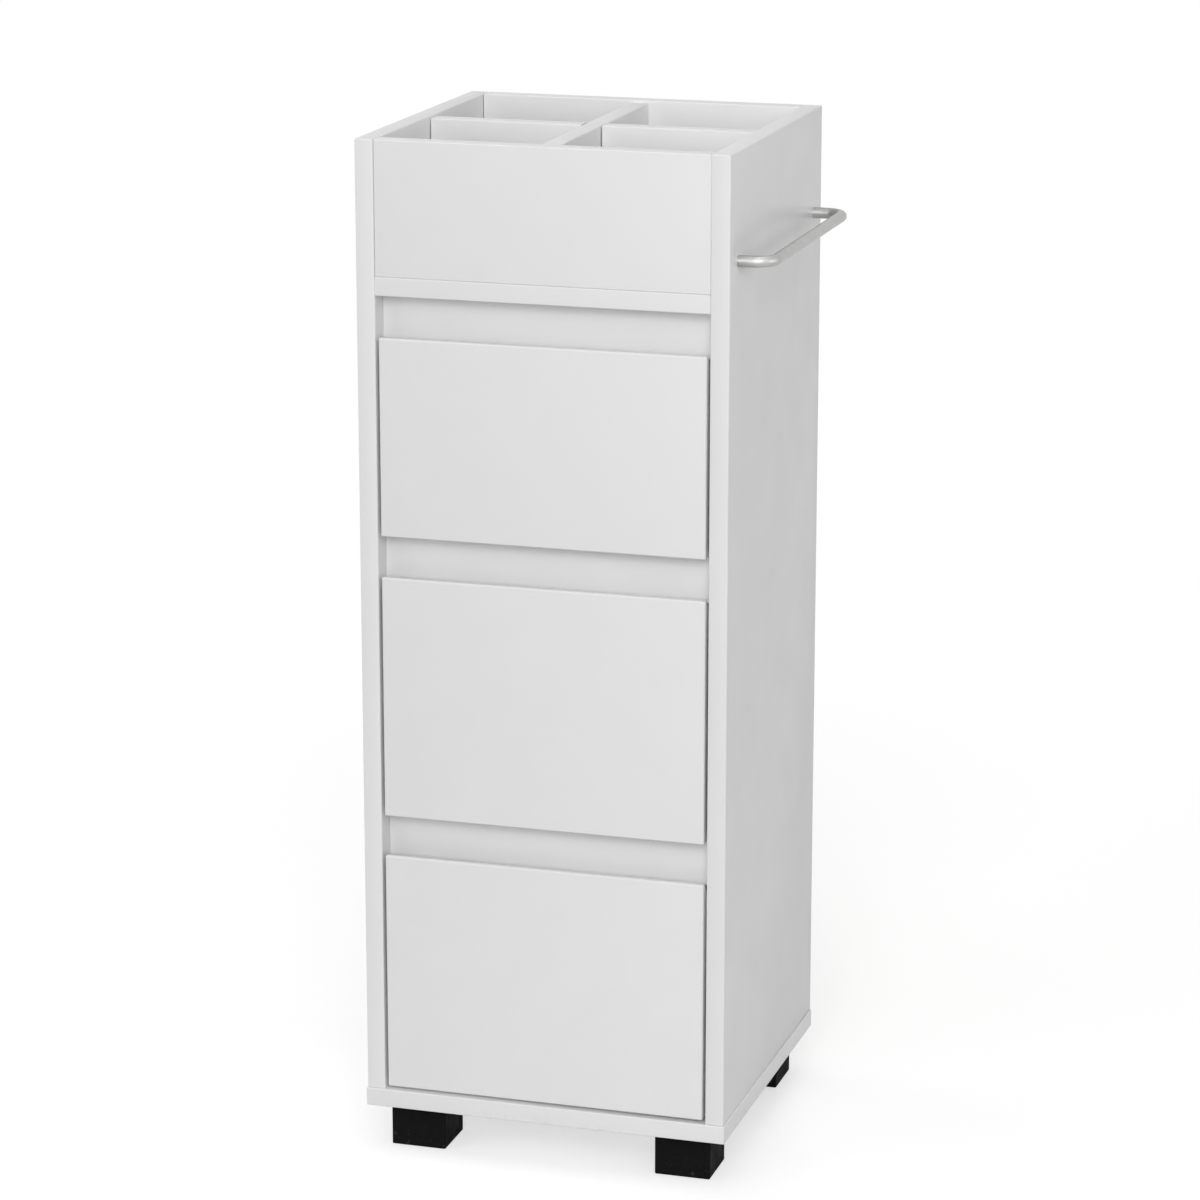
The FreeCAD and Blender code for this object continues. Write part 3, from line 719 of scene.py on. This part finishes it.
def bent_sheet(corners, near, far):
    """A strip of sheet along a line with square bends, as wide as from near to far.

    Each bend is an arc, centre - bend out cos t + bend in sin t, with in and out the ways before and
    after it. The sheet lies half its thickness to both sides of the line, and its section is carried
    along the line with both ends closed. near and far may differ from one straight run to the next,
    so the last point of each bend stands twice, once for each run.
    """
    corners = np.array(corners, float)
    ways = np.diff(corners, axis=0)
    ways /= np.linalg.norm(ways, axis=1, keepdims=True)
    into, out = ways[:-1, None], ways[1:, None]
    turn = np.linspace(0, np.pi / 2, RUNNER_BEND_POINTS)[None, :, None]
    centres = corners[1:-1, None] + RUNNER_BEND * (out - into)
    bends = centres - RUNNER_BEND * out * np.cos(turn) + RUNNER_BEND * into * np.sin(turn)
    headings = into * np.cos(turn) + out * np.sin(turn)

    def with_ends(first, at_bends, last):
        at_bends = np.concatenate([at_bends, at_bends[:, -1:]], axis=1)
        return np.concatenate([[first, first], at_bends.reshape(-1, 2), [last, last]])

    line = with_ends(corners[0], bends, corners[-1])
    heading = with_ends(ways[0], headings, ways[-1])
    final_run = len(ways) - 1
    bend_runs = np.arange(final_run)[:, None] + np.append(np.zeros(turn.size, int), 1)
    runs = np.concatenate([[0, 0], bend_runs.ravel(), [final_run, final_run]])
    half = np.full(len(line), RUNNER_SHEET / 2)
    half[[0, -1]] = 0
    beside = np.stack([-heading[:, 1], heading[:, 0]], axis=-1) * half[:, None]
    near, far = np.broadcast_to(near, len(ways))[runs], np.broadcast_to(far, len(ways))[runs]
    middle = (near + far) / 2
    near = np.where(half > 0, near, middle)
    far = np.where(half > 0, far, middle)
    sections = ((line + beside, near), (line + beside, far), (line - beside, far), (line - beside, near))
    return np.stack([np.column_stack([flat[:, 0], level, flat[:, 1]]) for flat, level in sections], axis=1)


def axle_skin(web, roller, way):
    """A collar, a stub and a peened end, carried round the axis that runs from a web through a roller."""
    low, high = roller.min(axis=0), roller.max(axis=0)
    middle = (low + high) / 2
    width = high[0] - low[0]
    length = abs(middle[0] - web) + width / 2
    collar = length - width - RUNNER_GAP
    end = length + RIVET_RISE
    profile = np.array([
        (0, 0), (0, COLLAR_RADIUS), (collar, COLLAR_RADIUS), (collar, AXLE_RADIUS), (length, AXLE_RADIUS),
        (length + RIVET_EDGE_SHARE * RIVET_RISE, RIVET_RADIUS), (end, RIVET_CROWN_SHARE * RIVET_RADIUS),
        (end, 0)])
    return turned(profile, np.array([web, middle[1], middle[2]]), np.array([way, 0, 0]), SCREW_COLUMNS)


def roller_on(node, side):
    """The points of a pair's roller on one side of the cabinet."""
    return min(solids_of(node), key=lambda points: points[:, 0].mean() * side)


# White powder coating: a soft gloss with a faint orange peel
coating = clouded_finish("coated_steel", clouds=(90, 3),
                         colours=((0.775, 0.775, 0.77), (0.80, 0.80, 0.79)),
                         roughness=(0.32, 0.36), pits=(900, 0.06, 0.00003))
for drawer in DRAWERS:
    for side, way in SIDES.items():
        runner = "%s_%s_cabinet_runner" % (drawer, side)
        low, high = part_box(runner)
        wall = low.x if way > 0 else high.x
        width, half = high.x - low.x, RUNNER_SHEET / 2
        web, lip = wall + way * half, wall + way * (width - half)
        edge = wall + way * width
        section = ((lip, low.z + RUNNER_SHEET + LEDGE_LIP), (lip, low.z + half), (web, low.z + half),
                   (web, high.z - half), (edge, high.z - half))
        roller = roller_on(drawer + "_front_rollers", way)
        grids = [bent_sheet(section, low.y, high.y), axle_skin(wall + way * RUNNER_SHEET, roller, way)]
        shown(piece_from_grids("rolled_" + runner, grids), "carcass", runner, coating)

screws = [screw_skin(lie_of(points), RUNNER_SCREW_HEAD, WOOD_PITCH) for points in solids_of("runner_screws")]
shown(piece_from_grids("runner_flat_screws", screws), "carcass", "runner_screws", zinc_finish)

# Rollers: moulded nylon wheels, one pair on the cabinet members in front and one on the drawer
# members behind. Each has a hub on its axle, thin ribs and a rounded tread.
ROLLER_BORE = 0.00205
ROLLER_COLUMNS = 120
HUB_RADIUS = 0.0037
RIM_WIDTH = 0.0021
RIB_COUNT = 6
RIB_SHARE = 0.22
RIB_SLOPE_SHARE = 0.1
FACE_DEPTH = 0.0009
FACE_SLOPE = 0.0002
TREAD_ROUNDING = 0.0008
TREAD_POINTS = 5


def roller_skin(points):
    """A closed ring: bore, hub, face, tread and the other face, carried round the roller's axis.

    Between hub and rim the face sinks, apart from ribs where the turn is near a whole share of them.
    """
    low, high = points.min(axis=0), points.max(axis=0)
    width = high[0] - low[0]
    radius = (high[2] - low[2]) / 2
    rim = radius - RIM_WIDTH
    face_radii = (ROLLER_BORE, HUB_RADIUS - FACE_SLOPE, HUB_RADIUS, HUB_RADIUS + FACE_SLOPE,
                  rim - FACE_SLOPE, rim)
    face = np.array([(0, reach) for reach in face_radii])
    tread = arc((TREAD_ROUNDING, radius - TREAD_ROUNDING), TREAD_ROUNDING, 180, 90, TREAD_POINTS)
    half = np.concatenate([face, tread])
    other = half[::-1] * (-1, 1) + (width, 0)
    profile = np.concatenate([half, other, half[:1]])

    def cut(distance, reach, turn):
        sunk = (reach > HUB_RADIUS) & (reach < rim)
        share = np.abs((turn * RIB_COUNT / (2 * np.pi) + 0.5) % 1 - 0.5) * 2
        pocket = FACE_DEPTH * smooth_step(RIB_SHARE, RIB_SHARE + RIB_SLOPE_SHARE, share) * sunk
        return np.where(distance < width / 2, distance + pocket, distance - pocket), reach

    start = np.array([low[0], (low[1] + high[1]) / 2, (low[2] + high[2]) / 2])
    return turned(profile, start, np.array([1.0, 0, 0]), ROLLER_COLUMNS, cut)


# Milky white nylon: soft, slightly waxy, with faint clouds
nylon_finish = clouded_finish("milky_nylon", clouds=(180, 3),
                              colours=((0.72, 0.71, 0.67), (0.79, 0.78, 0.75)),
                              roughness=(0.35, 0.45), pits=(1500, 0.1, 0.00005))
for drawer in DRAWERS:
    for end in ("front", "rear"):
        pair = "%s_%s_rollers" % (drawer, end)
        wheels = piece_from_grids("ribbed_" + pair, [roller_skin(points) for points in solids_of(pair)])
        shown(wheels, pair, pair, nylon_finish)

# Drawers: a front with a bevelled finger grip along its upper rear edge, two sides and a back of the
# same white board, a hardboard bottom in grooves, and a cam with its bolt at each front corner.
# The frame leaves the back's arrises square, and they are sanded round here too.
FRONT_EASING = 0.00065
SQUARE_DEGREES = (85, 95)
LONGEST_CAM = 0.016


def drawer_fitting(points):
    """A cam, or where the solid is longer than any cam, the bolt that it grips."""
    return cam_skin(points) if np.ptp(points, axis=0).max() < LONGEST_CAM else bolt_skin(points)


for drawer in DRAWERS:
    box = drawer + "_drawer"
    eased_board(box + "_front", box, FRONT_EASING)
    eased_board(box + "_left_side", box)
    eased_board(box + "_right_side", box)
    eased_board(box + "_back", box, arris_degrees=SQUARE_DEGREES)
    give_finish(thin_finish, box + "_bottom")
    fittings = [drawer_fitting(points) for points in solids_of(box + "_cams")]
    shown(piece_from_grids(box + "_turned_cams", fittings), box, box + "_cams", cam_finish)

# Drawer runners: the moving halves, a Z of the same coated sheet. A leg is screwed under the drawer's
# side, a flange runs on the front roller, and an axle behind it carries the rear roller.
LEG_SCREW_SHARES = (0.2, 0.75)
LEG_SCREW_HEAD = 0.0011
LEG_SCREW_RADIUS = 0.003
LEG_SCREW_LENGTH = 0.012
LEG_SCREW_SHANK = 0.0016
FLANGE_RELIEF = 0.0007
UPWARDS = np.array([0, 0, 1.0])

for drawer in DRAWERS:
    box = drawer + "_drawer"
    screws = []
    for side, way in SIDES.items():
        runner = "%s_%s_drawer_runner" % (drawer, side)
        low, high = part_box(runner)
        flange, leg = (low.x, high.x) if way > 0 else (high.x, low.x)
        side_low, side_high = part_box("%s_drawer_%s_side" % (drawer, side))
        cabinet_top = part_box("%s_%s_cabinet_runner" % (drawer, side))[1].z
        web = (side_low.x if way > 0 else side_high.x) - way * RUNNER_SHEET / 2
        roller = roller_on(drawer + "_rear_rollers", way)
        flange_rise = cabinet_top - RUNNER_SHEET * 2 - RUNNER_GAP + RUNNER_SHEET / 2
        foot_rise = side_low.z - RUNNER_SHEET / 2
        relief = roller[:, 1].min() - FLANGE_RELIEF
        section = ((flange, flange_rise), (web, flange_rise), (web, foot_rise), (leg, foot_rise))
        grids = [bent_sheet(section, low.y, (relief, high.y, high.y)),
                 axle_skin(web - way * RUNNER_SHEET / 2, roller, -way)]
        shown(piece_from_grids("rolled_" + runner, grids), box, runner, coating)
        for share in LEG_SCREW_SHARES:
            seat = np.array([(web + leg) / 2, low.y + share * (high.y - low.y), low.z - LEG_SCREW_HEAD])
            lie = (seat, UPWARDS, LEG_SCREW_LENGTH, LEG_SCREW_RADIUS, LEG_SCREW_SHANK)
            screws.append(screw_skin(lie, LEG_SCREW_HEAD, WOOD_PITCH))
    leg_screws = piece_from_grids(drawer + "_leg_screws", screws)
    leg_screws.data.materials.append(zinc_finish)
    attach(leg_screws, box)

# Studio: a white floor that fades out into the white room, broad soft lamps in front, on both sides,
# above and behind, and the photograph's view from the front and a little to the right.
# A lamp has a name, a place, a size, a power in watts and whether glossy surfaces mirror it.
ROOM_LIGHT = 0.21
ROOM_WHITE = (1, 1, 1, 1)
FLOOR_RADIUS = 2.2
FLOOR_LEVEL = -0.0002
FLOOR_RINGS = 12
FLOOR_COLUMNS = 64
FLOOR_FADE = (0.55, 1.9)
FLOOR_GREY = (0.6, 0.6, 0.6, 1)
FLOOR_GLOW = 0.55
LAMPS = (
    ("front_lamp", (0.9, -4.6, 2.1), 2.4, 100.0, True),
    ("high_lamp", (1.4, -3.6, 3.0), 2.2, 37.5, True),
    ("near_left_lamp", (-2.4, -2.2, 1.3), 1.6, 12.0, True),
    ("far_left_lamp", (-2.9, 0.6, 1.1), 1.6, 20.0, False),
    ("right_lamp", (2.9, -0.4, 1.1), 1.5, 16.5, True),
    ("top_lamp", (0.0, -0.3, 2.6), 1.5, 10.8, True),
    ("back_lamp", (-0.4, 3.0, 0.5), 1.0, 36.0, False))
LAMP_AIM = Vector((0.0, 0.0, 0.45))
CAMERA_PLACE = (0.953, -3.1775, 1.304)
CAMERA_DOWN_DEGREES = 14.59
CAMERA_TURN_DEGREES = 16.86
CAMERA_LENS = 126.6


def floor_disc():
    """A flat disc: rings of growing radius, each point at radius (cos t, sin t)."""
    radius = FLOOR_RADIUS * np.linspace(0, 1, FLOOR_RINGS)[:, None]
    turn = np.linspace(0, 2 * np.pi, FLOOR_COLUMNS, endpoint=False)
    level = np.full((radius.size, turn.size), FLOOR_LEVEL)
    return np.stack([radius * np.cos(turn), radius * np.sin(turn), level], axis=-1)


def seen_white(tree):
    """1 for a ray that shows the surroundings, straight or by reflection, 0 for one that lights."""
    ray = add_node(tree, "LightPath").outputs
    mirrored = joined(tree, ray["Is Glossy Ray"], ray["Is Transmission Ray"], "MAXIMUM")
    return joined(tree, ray["Is Camera Ray"], mirrored, "MAXIMUM")


def mixed(tree, share, one, other):
    """Two shaders mixed by a share of the second."""
    mix = add_node(tree, "MixShader", Fac=share)
    tree.links.new(one, mix.inputs[1])
    tree.links.new(other, mix.inputs[2])
    return mix.outputs["Shader"]


def floor_finish():
    """Matt white that takes the object's shadow, glows up to white where it is seen, and fades to clear."""
    finish = bpy.data.materials.new("white_floor")
    finish.use_nodes = True
    tree = finish.node_tree
    tree.nodes.clear()
    place = add_node(tree, "TexCoord").outputs["Object"]
    distance = add_node(tree, "VectorMath", {"operation": "LENGTH"}, Vector=place).outputs["Value"]
    shows = between(tree, distance, FLOOR_FADE, (1, 0))
    matt = add_node(tree, "BsdfDiffuse", Color=FLOOR_GREY).outputs["BSDF"]
    glow = add_node(tree, "Emission", Strength=FLOOR_GLOW).outputs["Emission"]
    lit = add_node(tree, "AddShader")
    tree.links.new(matt, lit.inputs[0])
    tree.links.new(glow, lit.inputs[1])
    clear = add_node(tree, "BsdfTransparent").outputs["BSDF"]
    white = mixed(tree, seen_white(tree), matt, lit.outputs["Shader"])
    add_node(tree, "OutputMaterial", Surface=mixed(tree, shows, clear, white))
    return finish


floor = piece_from_grids("floor", [floor_disc()])
floor.data.materials.append(floor_finish())

world = bpy.data.worlds.new("white_room")
world.use_nodes = True
room = world.node_tree
room.nodes.clear()
ambient = add_node(room, "Background", Color=ROOM_WHITE, Strength=ROOM_LIGHT).outputs["Background"]
backdrop = add_node(room, "Background", Color=ROOM_WHITE, Strength=1.0).outputs["Background"]
add_node(room, "OutputWorld", Surface=mixed(room, seen_white(room), ambient, backdrop))
bpy.context.scene.world = world

for name, place, size, power, mirrored in LAMPS:
    lamp = bpy.data.objects.new(name, bpy.data.lights.new(name, "AREA"))
    lamp.data.size = size
    lamp.data.energy = power
    lamp.visible_camera = False
    lamp.visible_glossy = mirrored
    lamp.location = place
    lamp.rotation_euler = (LAMP_AIM - Vector(place)).to_track_quat("-Z", "Y").to_euler()
    bpy.context.scene.collection.objects.link(lamp)

camera = bpy.data.objects.new("camera", bpy.data.cameras.new("camera"))
camera.data.lens = CAMERA_LENS
camera.location = CAMERA_PLACE
camera.rotation_euler = (math.radians(90 - CAMERA_DOWN_DEGREES), 0, math.radians(CAMERA_TURN_DEGREES))
bpy.context.scene.collection.objects.link(camera)
bpy.context.scene.camera = camera
bpy.context.scene.view_settings.view_transform = "Standard"
